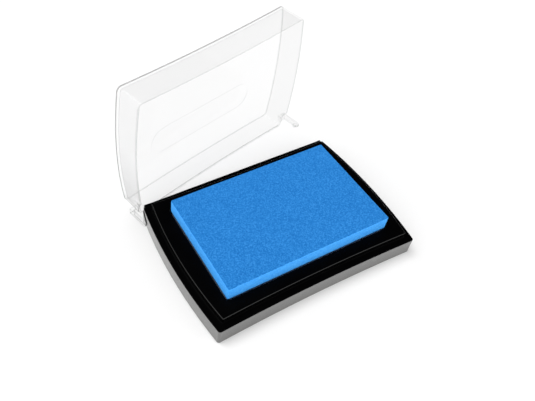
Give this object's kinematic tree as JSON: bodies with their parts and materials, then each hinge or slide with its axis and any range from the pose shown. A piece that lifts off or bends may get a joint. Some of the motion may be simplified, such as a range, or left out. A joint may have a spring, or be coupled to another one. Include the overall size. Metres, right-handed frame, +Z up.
{
  "type": "hinged ink pad",
  "caption": "Craft ink pad with a bowed black tray, a raised blue foam pad and a clear lid that hooks on at two back corners and swings open.",
  "frame": {"origin": "middle of the tray's underside, on the surface that the pad stands on", "axes": "+X along the tray's length, +Y towards the hinge, +Z up out of the pad's inking face"},
  "size_m": [0.1062, 0.107, 0.0668],
  "materials": {
    "tray_black": "glossy moulded black plastic",
    "plate_black": "fine matt black plastic",
    "label_paper": "plain uncoated white paper",
    "adhesive": "double-sided adhesive film",
    "inked_felt": "dense felt soaked with blue ink",
    "inked_foam": "fine open-cell foam soaked with blue ink",
    "clear_lid": "clear polished polystyrene"
  },
  "bodies": {
    "base": {"tray": "tray_black", "base_plate": "plate_black", "base_label": "label_paper", "pad_carrier": "plate_black", "adhesive_sheet": "adhesive", "felt_reservoir": "inked_felt", "foam_pad": "inked_foam"},
    "lid": {"lid": "clear_lid"}
  },
  "joints": [
    {"name": "lid_hinge", "type": "hinge", "parent": "base", "child": "lid", "pos_m": [-0.04973, 0.0297, 0.00342], "axis": [0.9853, 0.121, -0.121], "range_deg": [0, 90.85]}
  ]
}
